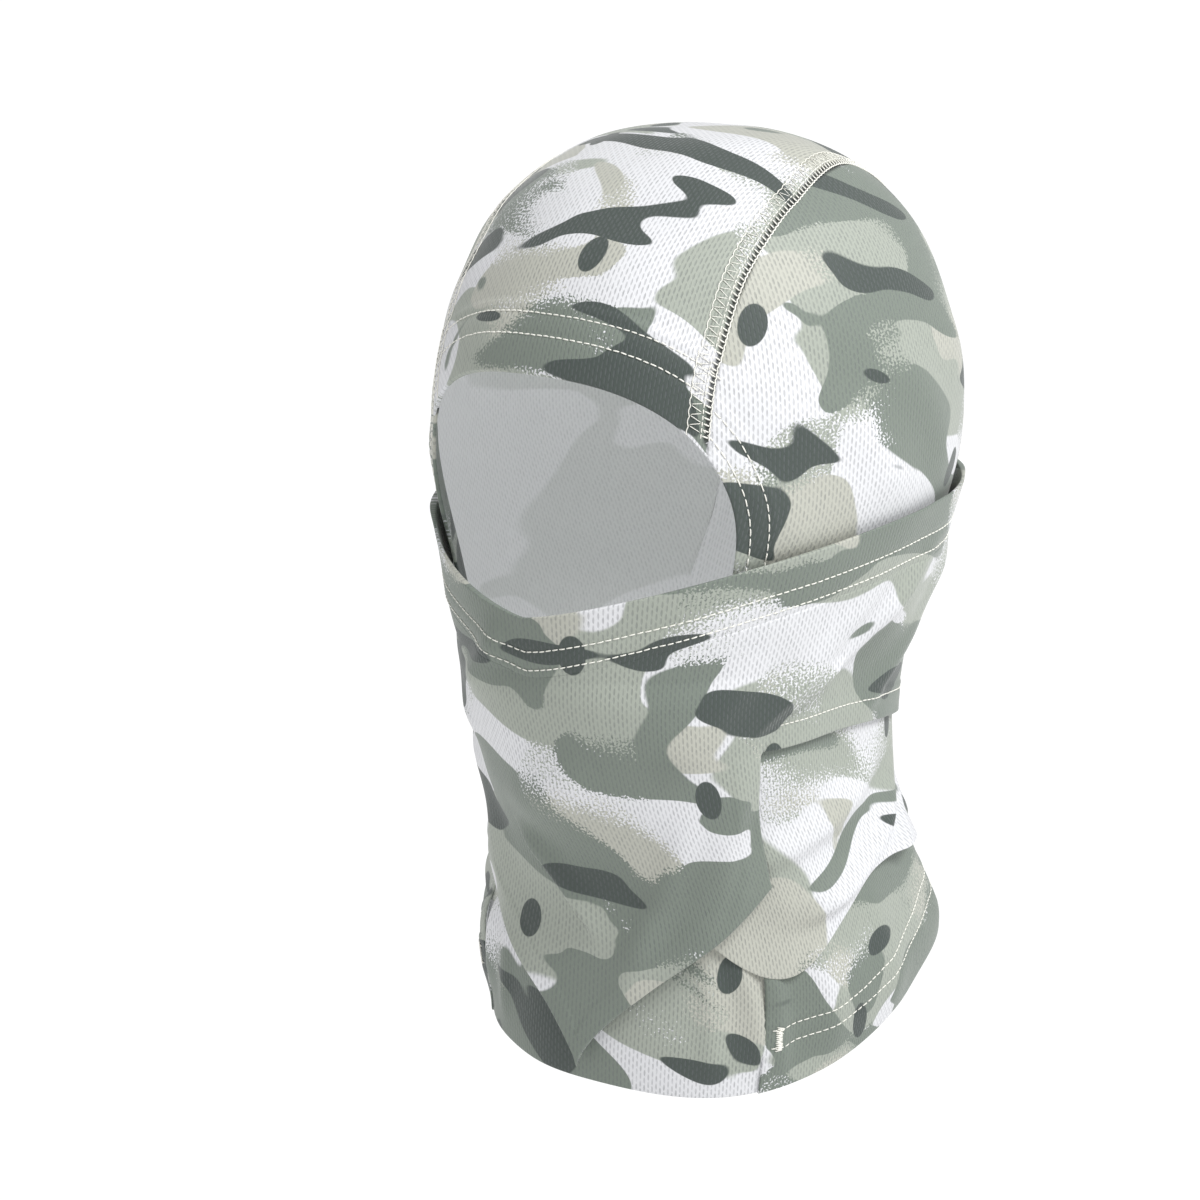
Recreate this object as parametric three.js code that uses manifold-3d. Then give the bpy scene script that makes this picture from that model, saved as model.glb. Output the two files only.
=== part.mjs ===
// A snow camouflage face mask: a balaclava hood whose lower face is covered by an outer wrap.
// The hood is a crown strip sewn between two side panels. A neck tube and a collar carry on
// below it. The face cover goes round the outside of all of them, from over the nose to behind
// the head, and ends in front as a pointed bib. Its top hem pulls down to under the chin.
//
// Millimetres. The origin is the middle of the wearer's head at eye level. +Z is up, -Y is the
// way the wearer looks, and +X is the wearer's left.
import * as THREE from "three";
import Module from "manifold-3d";
import { mergeVertices } from "three/addons/utils/BufferGeometryUtils.js";

const wasm = await Module();
wasm.setup();

// ---- cloth ----
const FABRIC = 0.8; // one layer of birdseye knit
const LAYER_GAP = 0.9; // air between two layers that lie on each other
const SEAM_GAP = 0.3; // between two panels that a seam holds side by side
const HEM_EXTRA = 0.5; // how much thicker a turned hem is than the panel
const THREAD = 0.4; // thickness of a row of stitches
const THREAD_WIDTH = 0.9; // width of a row of stitches
const THREAD_GAP = 0.6; // between a row and the cloth under it
const LAYER = FABRIC + LAYER_GAP;
const TUBE_LAYER = LAYER; // the neck tube lies over the hood and the collar
const COVER_LAYER = 2 * LAYER; // the face cover lies over the neck tube

// ---- the shape that the cloth is stretched over, from the collar up to the hat line ----
// Each level has the half breadth, and the reach to the front and to the back.
const LEVELS = [
  { z: -190, side: 73, front: 66, back: 93 }, // collar
  { z: -155, side: 75, front: 64, back: 92 },
  { z: -131, side: 68, front: 62, back: 80 },
  { z: -108, side: 60.5, front: 68, back: 68 }, // neck
  { z: -85, side: 58.5, front: 80, back: 66 }, // chin
  { z: -56, side: 60, front: 89, back: 72 },
  { z: -28, side: 69, front: 93.5, back: 82.5 }, // cheeks
  { z: 14, side: 79, front: 97, back: 88.5 }, // hat line
];
const HAT_LINE = LEVELS[LEVELS.length - 1];
const CROWN_TOP = 112; // height of the inside of the crown
const DOME_ROUNDNESS = { side: 2.6, front: 2.15, back: 2 }; // 2 is an ellipse, more is squarer

// ---- hood ----
const HOOD_BOTTOM = -66; // seam to the neck tube
const CROWN_HALF_WIDTH = 50; // crown strip, front half
const CROWN_HALF_WIDTH_BACK = 34; // crown strip at the back of the head
const CROWN_TAPER_FROM = -28; // the strip narrows behind this
const OPENING = { halfAngle: 46, middle: -10, up: 57.5, down: 80, squareness: 2.4 };
const HEM_ROWS = [11, 17]; // from the brow's and the cover's edge to their two rows of stitches
const HEM_WIDTH = 20; // from those edges to the raw edge inside
const SIDE_HEM_ROWS = [4, 9.5]; // the same on the opening's sides
const SIDE_HEM_WIDTH = 12;
const CHEEK_RADIUS = 86; // turns a distance along the cheek into an angle
const CROWN_STITCH_WIDTH = 6; // flatlock band on the crown's side of the seam

// ---- neck ----
const TUBE_TOP = { front: -95, back: -58 };
const TUBE_EDGE = -119; // lower fold of the neck tube
const TUBE_LOBE = { drop: 28, at: 50, spread: 24 }; // it hangs lower beside the bib
const COLLAR_TOP = -108;
const COLLAR_RIM = { front: -188, back: -150 };
const CHEST_HALF_ANGLE = 47; // chest panel, up to the two bartacks
const COLLAR_HEM_ROWS = [15, 21];
const COLLAR_HEM_WIDTH = 24;
const BARTACK = 7; // length of the bar of thread that locks a hem's end

// ---- face cover ----
const COVER_TOP = { front: -25, rise: 26, over: 100, power: 1.2 };
const COVER_BOTTOM = { side: -71, back: -84 };
const COVER_LOW_ROW = 8; // from the lower edge up to its row of stitches
const COVER_LOW_HEM = 10;
const BIB_HALF_ANGLE = 57;
const BIB_CORNER = -117;
const BIB_TIP = -182;
const BIB_CURVE = 0.7; // under 1, the two lower edges bow outwards

// ---- fineness ----
const COLUMNS = 40;
const DOME_ROWS = 8;
const ROW_HEIGHT = 10;

const radians = THREE.MathUtils.degToRad;
const smooth = (t) => THREE.MathUtils.smoothstep(t, 0, 1);

// A curve through the levels: between two of them it is a cubic that keeps their slopes.
function alongLevels(key, z) {
  const slopeAt = (i) => {
    if (i === 0 || i === LEVELS.length - 1) return 0;
    const below = LEVELS[i - 1];
    const above = LEVELS[i + 1];
    return (above[key] - below[key]) / (above.z - below.z);
  };
  if (z <= LEVELS[0].z) return LEVELS[0][key];
  const i = Math.min(LEVELS.findIndex((level) => level.z >= z), LEVELS.length - 1) - 1;
  const height = LEVELS[i + 1].z - LEVELS[i].z;
  const t = (z - LEVELS[i].z) / height;
  const start = LEVELS[i][key] * (1 + 2 * t) * (1 - t) ** 2;
  const end = LEVELS[i + 1][key] * t * t * (3 - 2 * t);
  const startSlope = slopeAt(i) * height * t * (1 - t) ** 2;
  const endSlope = slopeAt(i + 1) * height * t * t * (t - 1);
  return start + end + startSlope + endSlope;
}

// How far the form reaches at a height, in the direction named by key, at an offset outwards.
function reach(key, z, offset) {
  if (z <= HAT_LINE.z) return alongLevels(key, z) + offset;
  const power = DOME_ROUNDNESS[key];
  const t = Math.min((z - HAT_LINE.z) / (CROWN_TOP + offset - HAT_LINE.z), 1);
  return (HAT_LINE[key] + offset) * (1 - t ** power) ** (1 / power);
}

// The point of the form at an angle from the front, towards the wearer's left, and a height.
function formPoint(angle, z, offset) {
  const a = radians(angle);
  const length = Math.cos(a) > 0 ? "front" : "back";
  return [reach("side", z, offset) * Math.sin(a), -reach(length, z, offset) * Math.cos(a), z];
}

function geometryOf(positions, faces) {
  const geometry = new THREE.BufferGeometry();
  geometry.setAttribute("position", new THREE.Float32BufferAttribute(positions, 3));
  geometry.setIndex(faces);
  return geometry;
}

// A closed mesh as a solid that can be cut and joined.
function solidOf(geometry) {
  const plain = geometry.clone();
  plain.deleteAttribute("normal");
  plain.deleteAttribute("uv");
  const merged = mergeVertices(plain, 1e-4);
  const vertProperties = new Float32Array(merged.attributes.position.array);
  const triVerts = new Uint32Array(merged.index.array);
  return new wasm.Manifold(new wasm.Mesh({ numProp: 3, vertProperties, triVerts }));
}

// A closed sheet from a grid of places. place(u, j, offset) gives the point at a share along and
// on one of the lines that run along it. Each line has its own outside. A ring's two ends meet.
function sheet({ place, inner, outsides, columns, ring = false }) {
  const rows = outsides.length - 1;
  const across = ring ? columns : columns + 1;
  const positions = [];
  const faces = [];
  for (const side of ["out", "back"]) {
    for (let j = 0; j <= rows; j++) {
      const offset = side === "out" ? outsides[j] : inner;
      for (let i = 0; i < across; i++) positions.push(...place(i / columns, j, offset));
    }
  }
  const vertex = (side, i, j) => (side * (rows + 1) + j) * across + (ring ? i % columns : i);
  const out = (i, j) => vertex(0, i, j);
  const back = (i, j) => vertex(1, i, j);
  const quad = (a, b, c, d) => faces.push(a, b, c, a, c, d);
  for (let i = 0; i < columns; i++) {
    for (let j = 0; j < rows; j++) {
      quad(out(i, j), out(i + 1, j), out(i + 1, j + 1), out(i, j + 1));
      quad(back(i, j), back(i, j + 1), back(i + 1, j + 1), back(i + 1, j));
    }
    quad(back(i, 0), back(i + 1, 0), out(i + 1, 0), out(i, 0));
    quad(out(i, rows), out(i + 1, rows), back(i + 1, rows), back(i, rows));
  }
  for (let j = 0; j < rows && !ring; j++) {
    quad(back(0, j), out(0, j), out(0, j + 1), back(0, j + 1));
    quad(out(columns, j), back(columns, j), back(columns, j + 1), out(columns, j + 1));
  }
  return solidOf(geometryOf(positions, faces));
}

// A strip of cloth round the form, between two angles. Its lines run from the bottom to the top:
// each has an edge, which gives its height at an angle, and an outside.
function strip({ from = -180, to = 180, lines, columns = COLUMNS, inner }) {
  const place = (u, j, offset) => {
    const angle = from + (to - from) * u;
    return formPoint(angle, lines[j].edge(angle), offset);
  };
  const outsides = lines.map((line) => line.outside);
  return sheet({ place, columns, ring: to - from === 360, outsides, inner });
}

// Evenly spaced lines of cloth from one edge up to another.
function linesBetween(low, high, outside, rows) {
  const lines = [];
  for (let j = 0; j <= rows; j++) {
    lines.push({ edge: (angle) => low(angle) + ((high(angle) - low(angle)) * j) / rows, outside });
  }
  return lines;
}

// The whole form as a closed body, from a height up to the crown.
function body(offset, bottom) {
  const heights = [];
  const lowRows = Math.ceil((HAT_LINE.z - bottom) / ROW_HEIGHT);
  for (let j = 0; j < lowRows; j++) heights.push(bottom + ((HAT_LINE.z - bottom) * j) / lowRows);
  for (let j = 0; j < DOME_ROWS; j++) {
    const rise = Math.sin((j / DOME_ROWS) * (Math.PI / 2));
    heights.push(HAT_LINE.z + (CROWN_TOP + offset - HAT_LINE.z) * rise);
  }
  const positions = [];
  for (const z of heights) {
    for (let i = 0; i < COLUMNS; i++) {
      positions.push(...formPoint(-180 + (360 * i) / COLUMNS, z, offset));
    }
  }
  positions.push(0, 0, bottom, 0, 0, CROWN_TOP + offset);
  const floor = heights.length * COLUMNS;
  const faces = [];
  for (let i = 0; i < COLUMNS; i++) {
    const next = (i + 1) % COLUMNS;
    for (let j = 0; j < heights.length - 1; j++) {
      const a = j * COLUMNS;
      const b = a + COLUMNS;
      faces.push(a + i, a + next, b + next, a + i, b + next, b + i);
    }
    const last = (heights.length - 1) * COLUMNS;
    faces.push(floor, next, i, last + i, last + next, floor + 1);
  }
  return solidOf(geometryOf(positions, faces));
}

// A shell of cloth over the whole head.
function hoodShell(inner, outer, bottom) {
  return body(outer, bottom).subtract(body(inner, bottom - 1));
}

// A flat outline pushed through the part, upwards or from front to back.
const THROUGH = 400;
function prism(points, direction) {
  const shape = new THREE.Shape(points.map(([x, y]) => new THREE.Vector2(x, y)));
  const geometry = new THREE.ExtrudeGeometry(shape, { depth: THROUGH, bevelEnabled: false });
  if (direction === "up") geometry.translate(0, 0, -THROUGH / 2);
  else geometry.rotateX(Math.PI / 2);
  return solidOf(geometry);
}

// ---- outlines ----

// The edge of the face opening, grown by a hem's distance, as an angle and a height: a rounded
// arch. The turn runs from the wearer's left at 0 over the brow at 90. Below, it goes past the
// hood's lower edge, where the chin comes through.
function openingEdge(turn, distance) {
  const a = radians(turn);
  const half = OPENING.halfAngle + THREE.MathUtils.radToDeg(distance / CHEEK_RADIUS);
  const height = (Math.sin(a) > 0 ? OPENING.up : OPENING.down) + distance;
  const arch = (v) => Math.sign(v) * Math.abs(v) ** (2 / OPENING.squareness);
  return [half * arch(Math.cos(a)), OPENING.middle + height * arch(Math.sin(a))];
}

function openingPrism(distance) {
  const steps = 40;
  const points = [];
  for (let i = 0; i < steps; i++) {
    const [x, , z] = formPoint(...openingEdge((360 * i) / steps, distance), 0);
    points.push([x, z]);
  }
  return prism(points, "front");
}

// Half the crown strip's breadth, which tapers behind the middle of the head.
const TAPER_TO = 120;
function crownHalf(y) {
  const t = Math.min(Math.max((y - CROWN_TAPER_FROM) / (TAPER_TO - CROWN_TAPER_FROM), 0), 1);
  return CROWN_HALF_WIDTH + (CROWN_HALF_WIDTH_BACK - CROWN_HALF_WIDTH) * t;
}

// The crown strip seen from above, grown sideways. It leaves out the cheeks in front.
function crownPrism(grow) {
  const left = [-THROUGH / 2, CROWN_TAPER_FROM, TAPER_TO].map((y) => [crownHalf(y) + grow, y]);
  const right = left.map(([x, y]) => [-x, y]).reverse();
  const cheeks = new THREE.BoxGeometry(THROUGH, THROUGH, THROUGH);
  cheeks.translate(0, -THROUGH / 2, -THROUGH / 2);
  return prism([...left, ...right], "up").subtract(solidOf(cheeks));
}

// The point of a crown seam in a direction seen from the side: 0 is forwards, 90 is up.
// It is found by halving the range that holds the surface.
function seamPoint(side, inset, turn, offset) {
  const a = radians(turn);
  let near = 0;
  let far = 2 * CROWN_TOP;
  let point;
  for (let i = 0; i < 30; i++) {
    const r = (near + far) / 2;
    const y = -r * Math.cos(a);
    const z = r * Math.sin(a);
    point = [side * (crownHalf(y) - inset), y, z];
    const length = y < 0 ? "front" : "back";
    const across = point[0] / reach("side", z, offset);
    const along = y / reach(length, z, offset);
    if (across * across + along * along < 1) near = r;
    else far = r;
  }
  return point;
}

const oneSide = (side) => {
  const box = new THREE.BoxGeometry(THROUGH, THROUGH, THROUGH);
  return solidOf(box.translate((side * THROUGH) / 2, 0, 0));
};

// The cover's top edge climbs from the nose to behind the ears, and is level from there on.
function coverTop(angle) {
  const turn = Math.min(Math.abs(angle) / COVER_TOP.over, 1) * 90;
  return COVER_TOP.front + COVER_TOP.rise * Math.sin(radians(turn)) ** COVER_TOP.power;
}

function coverBottom(angle) {
  const t = smooth((Math.abs(angle) - 75) / 75);
  return COVER_BOTTOM.side + (COVER_BOTTOM.back - COVER_BOTTOM.side) * t;
}

// From the tip in front up to the corners where the bib's upright edges begin.
function bibBottom(angle) {
  const t = Math.min(Math.abs(angle) / (BIB_HALF_ANGLE - 4), 1);
  return BIB_TIP + (BIB_CORNER - BIB_TIP) * t ** BIB_CURVE;
}

function tubeTop(angle) {
  const t = smooth((Math.abs(angle) - 30) / 40);
  return TUBE_TOP.front + (TUBE_TOP.back - TUBE_TOP.front) * t;
}

function tubeEdge(angle) {
  const t = (Math.abs(angle) - TUBE_LOBE.at) / TUBE_LOBE.spread;
  return TUBE_EDGE - TUBE_LOBE.drop * Math.exp(-t * t);
}

function collarRim(angle) {
  const t = smooth((1 - Math.cos(radians(angle))) / 2);
  return COLLAR_RIM.front + (COLLAR_RIM.back - COLLAR_RIM.front) * t;
}

const level = (z) => () => z;
const above = (edge, distance) => (angle) => edge(angle) + distance;

// ---- materials ----
const camoCloth = new THREE.MeshStandardMaterial({ color: 0xc4c8bf, roughness: 0.85 });
const coverCloth = new THREE.MeshStandardMaterial({ color: 0xb4baae, roughness: 0.85 });
const whiteThread = new THREE.MeshStandardMaterial({ color: 0xe9e9e4, roughness: 0.7 });

const mask = new THREE.Group();

function add(name, solid, material) {
  const made = solid.getMesh();
  const positions = [];
  for (let i = 0; i < made.numVert; i++) {
    positions.push(...made.vertProperties.subarray(i * made.numProp, i * made.numProp + 3));
  }
  const mesh = new THREE.Mesh(geometryOf(positions, [...made.triVerts]), material);
  mesh.name = name;
  mask.add(mesh);
}

// A row of stitches: a thin line of thread on top of cloth whose outside is at an offset.
function stitchRow({ edge, distance, outside, ...span }) {
  const inner = outside + THREAD_GAP;
  const low = above(edge, distance - THREAD_WIDTH / 2);
  const high = above(edge, distance + THREAD_WIDTH / 2);
  return strip({ ...span, inner, lines: linesBetween(low, high, inner + THREAD, 1) });
}

// ---- hood panels ----
const hemOutside = FABRIC + HEM_EXTRA;
const opening = openingPrism(0);
const hood = hoodShell(0, FABRIC, HOOD_BOTTOM).subtract(opening);
const HEM_BOTTOM = TUBE_TOP.back + 2; // the thick hem stops where the neck tube begins
const behindEars = prism(
  [
    [-THROUGH / 2, 0],
    [THROUGH / 2, 0],
    [THROUGH / 2, THROUGH / 2],
    [-THROUGH / 2, THROUGH / 2],
  ],
  "up",
);

// The hood's cloth with a hem of a width round the face opening.
function hemmedHood(width) {
  const hem = hoodShell(0, hemOutside, HEM_BOTTOM)
    .intersect(openingPrism(width))
    .subtract(opening)
    .subtract(behindEars);
  return hood.add(hem);
}
add("crown_panel", hemmedHood(HEM_WIDTH).intersect(crownPrism(-SEAM_GAP / 2)), camoCloth);
const sidePanels = hemmedHood(SIDE_HEM_WIDTH).subtract(crownPrism(SEAM_GAP / 2));
add("side_panel_left", sidePanels.intersect(oneSide(1)), camoCloth);
add("side_panel_right", sidePanels.intersect(oneSide(-1)), camoCloth);

// ---- stitches of the hood ----
// Turns of the opening's outline where a row meets the crown seams and the neck tube.
const ROW_TURNS = { left: [-14, 44], brow: [48, 132], right: [136, 194] };
const rowNames = ["inner", "outer"];
rowNames.forEach((rowName, i) => {
  for (const [part, [from, to]] of Object.entries(ROW_TURNS)) {
    const distance = (part === "brow" ? HEM_ROWS : SIDE_HEM_ROWS)[i];
    const place = (u, j, offset) => {
      const across = distance + (j - 0.5) * THREAD_WIDTH;
      return formPoint(...openingEdge(to + (from - to) * u, across), offset);
    };
    const inner = hemOutside + THREAD_GAP;
    const outsides = [inner + THREAD, inner + THREAD];
    const row = sheet({ place, inner, outsides, columns: 18 });
    const name = part === "brow" ? "brow_hem_stitch" : `opening_stitch_${part}`;
    add(`${name}_${rowName}`, row, whiteThread);
  }
});

// The flatlock band follows each crown seam from the brow hem to the face cover behind.
const SEAM_TURNS = { from: 40, to: 175 };
for (const [name, side] of [
  ["left", 1],
  ["right", -1],
]) {
  const place = (u, j, offset) => {
    const turn = SEAM_TURNS.from + (SEAM_TURNS.to - SEAM_TURNS.from) * u;
    const inset = SEAM_GAP + CROWN_STITCH_WIDTH * (side > 0 ? j : 1 - j);
    return seamPoint(side, inset, turn, offset);
  };
  const inner = FABRIC + THREAD_GAP;
  const outsides = [inner + THREAD, inner + THREAD];
  const band = sheet({ place, inner, outsides, columns: 28 });
  add(`crown_seam_stitch_${name}`, band, whiteThread);
}

// ---- neck tube, collar and chest panel ----
const tubeLines = linesBetween(tubeEdge, tubeTop, TUBE_LAYER + FABRIC, 8);
add("neck_tube", strip({ lines: tubeLines, inner: TUBE_LAYER }), camoCloth);

const collarSpan = {
  from: CHEST_HALF_ANGLE + 0.4,
  to: 360 - CHEST_HALF_ANGLE - 0.4,
  columns: 30,
};
const collarHemTop = above(collarRim, COLLAR_HEM_WIDTH);
const collarLines = [
  ...linesBetween(collarRim, collarHemTop, hemOutside, 2),
  ...linesBetween(above(collarHemTop, HEM_EXTRA), level(COLLAR_TOP), FABRIC, 6),
];
add("collar", strip({ ...collarSpan, lines: collarLines, inner: 0 }), camoCloth);
COLLAR_HEM_ROWS.forEach((distance, i) => {
  const row = { edge: collarRim, distance, outside: hemOutside, ...collarSpan };
  add(`collar_hem_stitch_${["lower", "upper"][i]}`, stitchRow(row), whiteThread);
});

const chestSpan = { from: -CHEST_HALF_ANGLE, to: CHEST_HALF_ANGLE, columns: 12 };
const chestLines = linesBetween(collarRim, level(COLLAR_TOP), FABRIC, 6);
add("chest_panel", strip({ ...chestSpan, lines: chestLines, inner: 0 }), camoCloth);

// Each bartack sits at the end of the collar's hem, over its two rows.
function bartack(side) {
  const middle = side * (CHEST_HALF_ANGLE + 3);
  const half = 1.8;
  const inner = hemOutside + 2 * THREAD_GAP + THREAD;
  const centre = (COLLAR_HEM_ROWS[0] + COLLAR_HEM_ROWS[1]) / 2;
  const low = above(collarRim, centre - BARTACK / 2);
  const high = above(collarRim, centre + BARTACK / 2);
  const lines = linesBetween(low, high, inner + 2 * THREAD, 1);
  return strip({ from: middle - half, to: middle + half, columns: 2, lines, inner });
}
add("bartack_left", bartack(1), whiteThread);
add("bartack_right", bartack(-1), whiteThread);

// ---- face cover ----
const coverOutside = COVER_LAYER + FABRIC;
const coverHemOutside = coverOutside + HEM_EXTRA;
const bandBottom = above(coverTop, -HEM_WIDTH);
const coverHigh = above(bandBottom, -SEAM_GAP);
const lowHemTop = above(coverBottom, COVER_LOW_HEM);
const coverLines = [
  ...linesBetween(coverBottom, lowHemTop, coverHemOutside, 1),
  ...linesBetween(above(lowHemTop, HEM_EXTRA), coverHigh, coverOutside, 4),
];
add("face_cover", strip({ lines: coverLines, inner: COVER_LAYER }), coverCloth);
const lowRow = { edge: coverBottom, distance: COVER_LOW_ROW, outside: coverHemOutside };
const lowRowSpan = { from: BIB_HALF_ANGLE, to: 360 - BIB_HALF_ANGLE, columns: 30 };
add("cover_low_stitch", stitchRow({ ...lowRow, ...lowRowSpan }), whiteThread);

const bibSpan = { from: -BIB_HALF_ANGLE, to: BIB_HALF_ANGLE, columns: 20 };
const bibLines = linesBetween(bibBottom, level(COVER_BOTTOM.side - SEAM_GAP), coverOutside, 8);
add("front_bib", strip({ ...bibSpan, lines: bibLines, inner: COVER_LAYER }), coverCloth);

const bandLines = linesBetween(bandBottom, coverTop, coverHemOutside, 2);
add("cover_hem", strip({ lines: bandLines, inner: COVER_LAYER }), coverCloth);
HEM_ROWS.forEach((distance, i) => {
  const row = { edge: coverTop, distance: -distance, outside: coverHemOutside };
  add(`cover_hem_stitch_${["upper", "lower"][i]}`, stitchRow(row), whiteThread);
});

export default mask;
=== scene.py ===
"""The looks of a snow camouflage face mask: its cloth panels, turned hems and every stitch.

Lengths are millimetres up to the moment when a mesh is made, and metres from there on. The form
that the cloth lies on is the one of the part: round it, an angle runs from the front towards the
wearer's left, and a height runs up. A piece is a grid of points on that form.
"""

import math

import bpy
import numpy as np
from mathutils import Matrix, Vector


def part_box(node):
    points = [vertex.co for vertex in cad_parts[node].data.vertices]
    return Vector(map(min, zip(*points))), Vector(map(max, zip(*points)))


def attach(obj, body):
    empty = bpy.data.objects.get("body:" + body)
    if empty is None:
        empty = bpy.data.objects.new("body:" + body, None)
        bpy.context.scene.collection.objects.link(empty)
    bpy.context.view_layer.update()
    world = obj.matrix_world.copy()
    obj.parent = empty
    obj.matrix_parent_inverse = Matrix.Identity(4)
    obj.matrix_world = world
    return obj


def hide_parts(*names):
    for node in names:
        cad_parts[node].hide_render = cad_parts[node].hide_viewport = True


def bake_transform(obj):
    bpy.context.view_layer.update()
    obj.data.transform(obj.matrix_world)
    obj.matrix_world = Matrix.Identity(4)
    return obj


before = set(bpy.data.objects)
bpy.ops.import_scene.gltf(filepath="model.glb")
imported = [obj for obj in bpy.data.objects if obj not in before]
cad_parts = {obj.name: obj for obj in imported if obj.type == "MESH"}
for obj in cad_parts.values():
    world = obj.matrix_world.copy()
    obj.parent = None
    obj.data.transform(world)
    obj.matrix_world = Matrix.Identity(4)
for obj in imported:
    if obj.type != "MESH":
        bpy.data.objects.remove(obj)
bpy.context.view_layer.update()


def box_mm(node):
    """The lowest and highest corners of a node of the part, in millimetres."""
    return [np.array(corner) * 1000 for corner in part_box(node)]


# ---- cloth ----
FABRIC = 0.8  # one layer
LAYER = 1.7  # from one layer's inside to the next layer's
TUBE = LAYER + FABRIC  # outside of the neck tube
COVER = 2 * LAYER + FABRIC  # outside of the face cover
SHEET = 0.45  # the knit itself, where a hem shows its two sheets
FOLD = 0.5  # radius of a turned edge
HEM_EXTRA = 0.5
HEM_ROWS = (11, 17)
HEM_WIDTH = 20
SIDE_HEM_ROWS = (4, 9.5)
SIDE_HEM_WIDTH = 12
COLLAR_ROWS = (15, 21)
COLLAR_HEM = 24
LOW_ROW = 8
SUNK = 0.34  # how deep a row of stitches lies in a hem
STITCH = 2.1  # from one stitch to the next
SIDE_STITCH = 3.2
BROW_STITCH = 2.3
LADDER = 1.75  # from one rung of a flatlock seam to the next
LOOP = 2.8  # from one loop of the seam's outer thread to the next
SEAM_WIDTH = 6.0  # from the join to the seam's outer thread

# ---- the form ----
LEVELS = np.array(
    [
        # height, half breadth, reach to the front, reach to the back
        [-190, 73, 66, 93],
        [-155, 75, 64, 92],
        [-131, 68, 62, 80],
        [-108, 60.5, 68, 68],
        [-85, 58.5, 80, 66],
        [-56, 60, 89, 72],
        [-28, 69, 93.5, 82.5],
        [14, 79, 97, 88.5],
    ]
)
COLUMN = {"side": 1, "front": 2, "back": 3}
ROUNDNESS = {"side": 2.6, "front": 2.15, "back": 2}
HAT_LINE = LEVELS[-1, 0]
CROWN_TOP = box_mm("crown_panel")[1][2] - FABRIC
HOOD_BOTTOM = box_mm("crown_panel")[0][2]
COLLAR_BOTTOM = box_mm("collar")[0][2]
CHEST_BOTTOM = box_mm("chest_panel")[0][2]
COVER_TOP_FRONT = box_mm("cover_hem")[0][2] + HEM_WIDTH
COVER_TOP_BACK = box_mm("cover_hem")[1][2]
BIB_TIP = box_mm("front_bib")[0][2]
BIB_TOP = -38.0  # where the bib leaves the cover
BIB_CORNER = -117
BIB_SIDE = 57  # angle of the bib's upright edges
CHEST_SIDE = 47
COVER_LOW = -71
TUBE_LOW = -119
TUBE_TOP = -58
NECK_TOP = -110  # top of the collar and of the chest panel, under the neck tube
NAPE_RIM = -150
OPENING_HALF = 46.0  # half the face opening, as an angle
OPENING_REACH = 86.0  # from the head's axis to the opening's sides
OPENING_MIDDLE = -10
OPENING_UP = 57.5
OPENING_DOWN = 80
OPENING_ROUNDNESS = 2.4
CORNER = (36.2, 30.4)  # where the crown seam meets the face opening


def smooth(t):
    """A step that leaves 0 and reaches 1 without a corner."""
    t = np.clip(t, 0, 1)
    return t * t * (3 - 2 * t)


def along_levels(key, z):
    """A cubic through the levels that keeps their slopes, level at both ends."""
    heights, values = LEVELS[:, 0], LEVELS[:, COLUMN[key]]
    slopes = np.zeros(len(heights))
    slopes[1:-1] = (values[2:] - values[:-2]) / (heights[2:] - heights[:-2])
    z = np.clip(z, heights[0], heights[-1])
    i = np.clip(np.searchsorted(heights, z) - 1, 0, len(heights) - 2)
    step = heights[i + 1] - heights[i]
    t = (z - heights[i]) / step
    ends = values[i] * (1 + 2 * t) * (1 - t) ** 2 + values[i + 1] * t * t * (3 - 2 * t)
    return ends + step * (slopes[i] * t * (1 - t) ** 2 + slopes[i + 1] * t * t * (t - 1))


def reach(key, z, out):
    """How far the form goes in one direction at a height: the levels, then a rounded dome."""
    low = along_levels(key, z) + out
    power = ROUNDNESS[key]
    t = np.clip((z - HAT_LINE) / (CROWN_TOP + out - HAT_LINE), 0, 1)
    dome = (LEVELS[-1, COLUMN[key]] + out) * (1 - t**power) ** (1 / power)
    return np.where(z <= HAT_LINE, low, dome)


def form_point(angle, z, out=0.0):
    """Points of the form: an ellipse at each height, with its own front and back half."""
    a = np.radians(angle)
    length = np.where(np.cos(a) > 0, reach("front", z, out), reach("back", z, out))
    x, y = reach("side", z, out) * np.sin(a), -length * np.cos(a)
    return np.stack(np.broadcast_arrays(x, y, z), axis=-1)


def around(angle, z=-40.0):
    """The length along the form from the front to an angle, at one height."""
    turns = np.linspace(-200, 380, 2321)
    steps = np.linalg.norm(np.diff(form_point(turns, np.full_like(turns, z)), axis=0), axis=1)
    length = np.concatenate([[0], np.cumsum(steps)])
    return np.interp(angle, turns, length - np.interp(0, turns, length))


def unturned(angle):
    """An angle brought between -180 and 180."""
    return (angle + 180) % 360 - 180


# ---- edges ----
def cover_top(angle):
    """The cover's top edge climbs from the nose to behind the ears."""
    turn = np.radians(np.minimum(np.abs(unturned(angle)) / 100, 1) * 90)
    return COVER_TOP_FRONT + (COVER_TOP_BACK - COVER_TOP_FRONT) * np.sin(turn) ** 1.2


def cover_low(angle):
    """The cover's lower edge sinks a little behind."""
    return COVER_LOW - 13 * smooth((np.abs(unturned(angle)) - 75) / 75)


def bib_low(angle):
    """The bib's two lower edges bow outwards from the tip to the corners."""
    t = np.minimum(np.abs(angle) / (BIB_SIDE - 4), 1)
    return BIB_TIP + (BIB_CORNER - BIB_TIP) * t**0.7


def bib_half(z):
    """Half the angle that the bib spans: it narrows down to its corners."""
    heights = [BIB_CORNER, COVER_LOW, -60, -48, BIB_TOP]
    return np.interp(z, heights, [BIB_SIDE - 4, BIB_SIDE, 64, 75, 80])


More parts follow.
